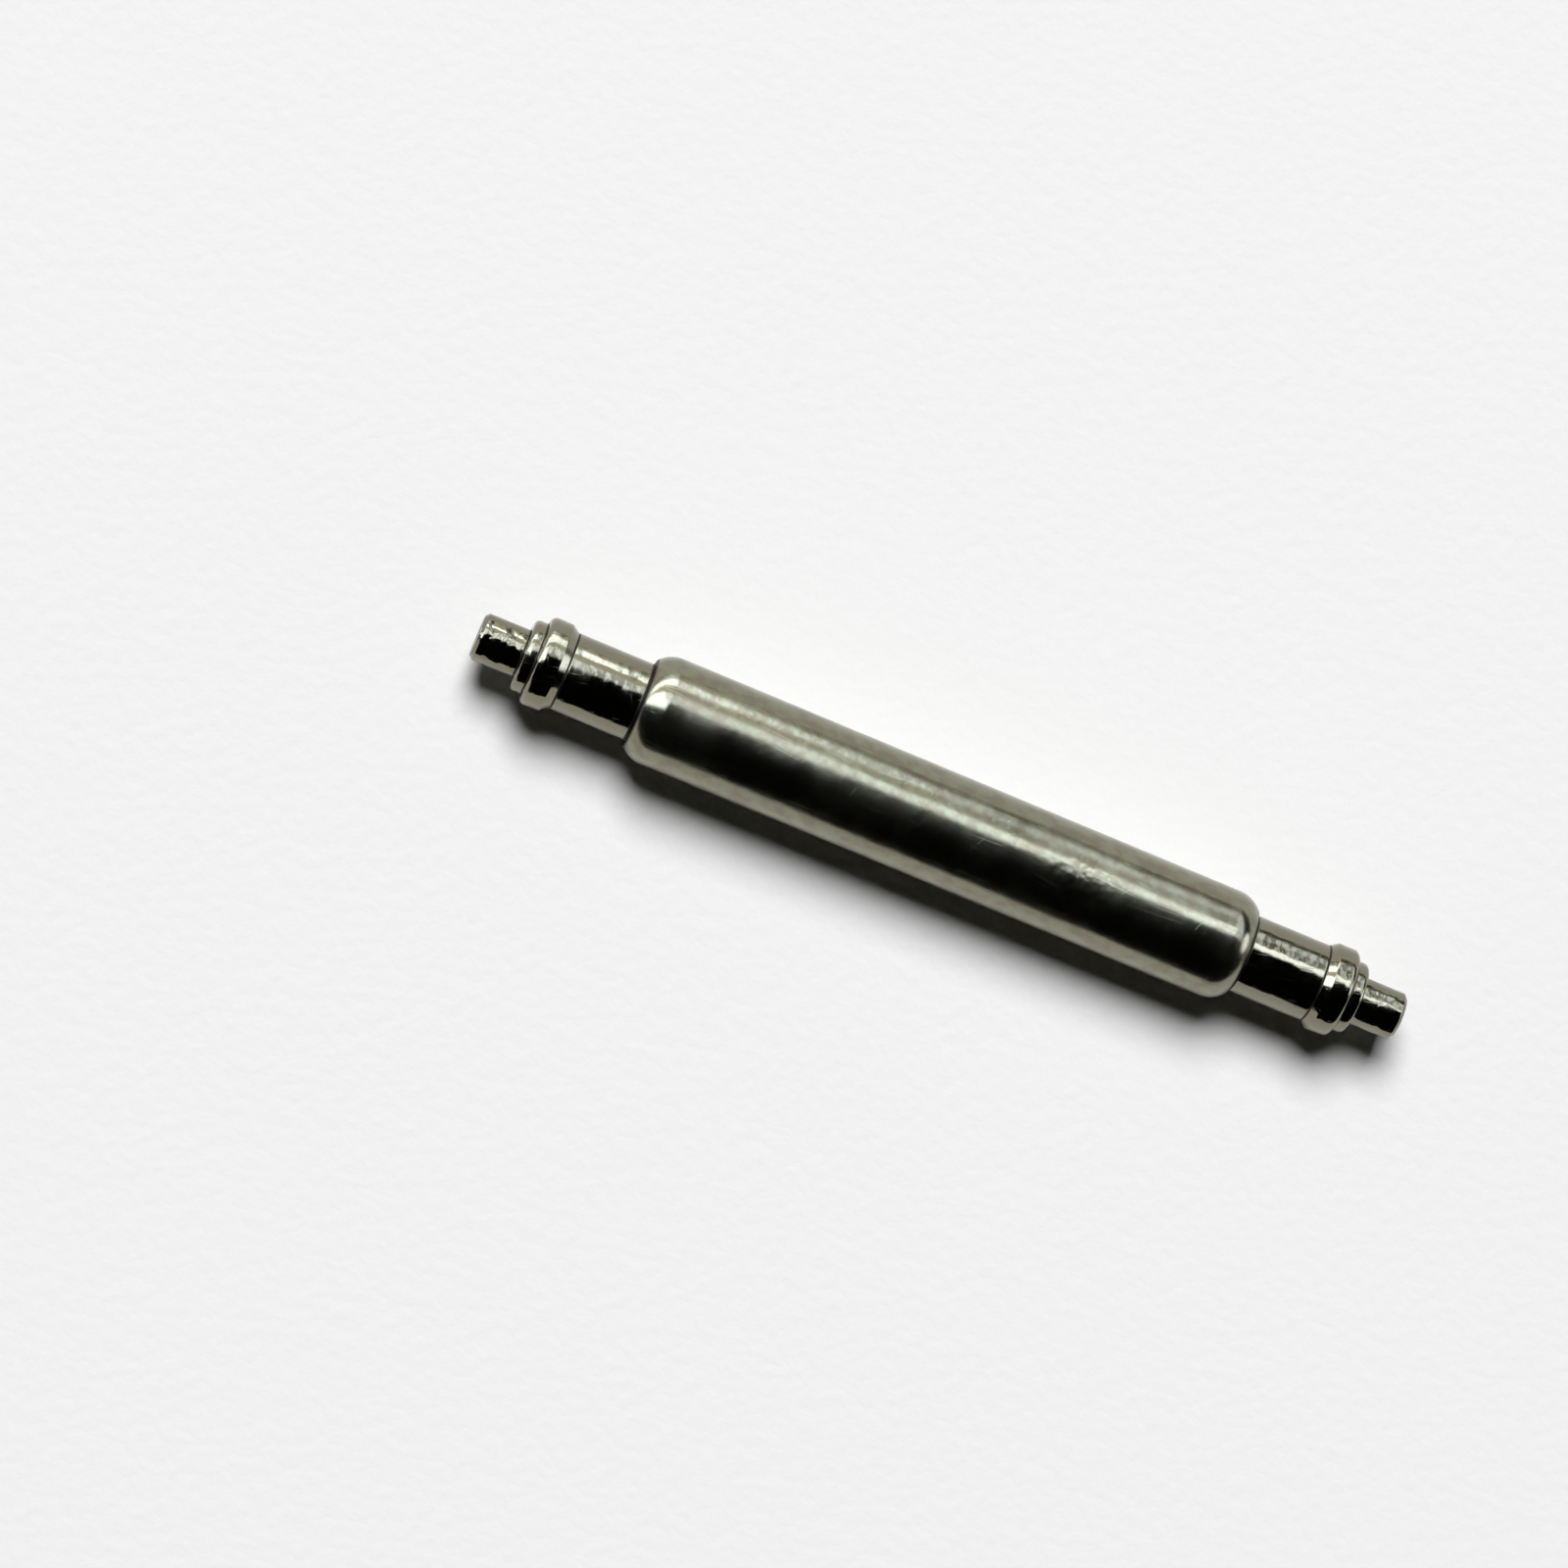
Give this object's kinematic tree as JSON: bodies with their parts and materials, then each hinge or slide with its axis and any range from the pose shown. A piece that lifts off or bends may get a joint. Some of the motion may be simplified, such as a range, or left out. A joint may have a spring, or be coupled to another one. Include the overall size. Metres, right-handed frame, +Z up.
{
  "type": "spring bar",
  "caption": "Straight spring bar for a watch strap: a barrel tube with rolled-in ends and a sprung, flanged plunger with a thin round tip at each end.",
  "frame": {"origin": "middle of the barrel, on the bar's axis, which is also the middle of the whole bar", "axes": "+X along the bar towards the right plunger's tip, +Z up with the bar lying on its side, +Y across it"},
  "size_m": [0.022, 0.0024, 0.0024],
  "materials": {
    "polished_steel_tube": "drawn stainless steel tube, tumble polished",
    "turned_steel": "turned stainless steel, polished, with fine turning marks",
    "spring_wire": "drawn spring steel wire"
  },
  "bodies": {
    "barrel": {"barrel": "polished_steel_tube"},
    "spring": {"compression_spring": "spring_wire"},
    "left_plunger": {"left_plunger": "turned_steel"},
    "right_plunger": {"right_plunger": "turned_steel"}
  },
  "joints": [
    {"name": "core_turn", "type": "hinge", "parent": "barrel", "child": "spring", "pos_m": [0, 0, 0], "axis": [1, 0, 0], "continuous": true},
    {"name": "left_plunger_slide", "type": "slide", "parent": "spring", "child": "left_plunger", "axis": [1, 0, 0], "range_m": [0, 0.00165], "stiffness_N_per_m": 560, "deforming": ["compression_spring"]},
    {"name": "right_plunger_slide", "type": "slide", "parent": "spring", "child": "right_plunger", "axis": [-1, 0, 0], "range_m": [0, 0.00165], "stiffness_N_per_m": 560, "deforming": ["compression_spring"]}
  ]
}
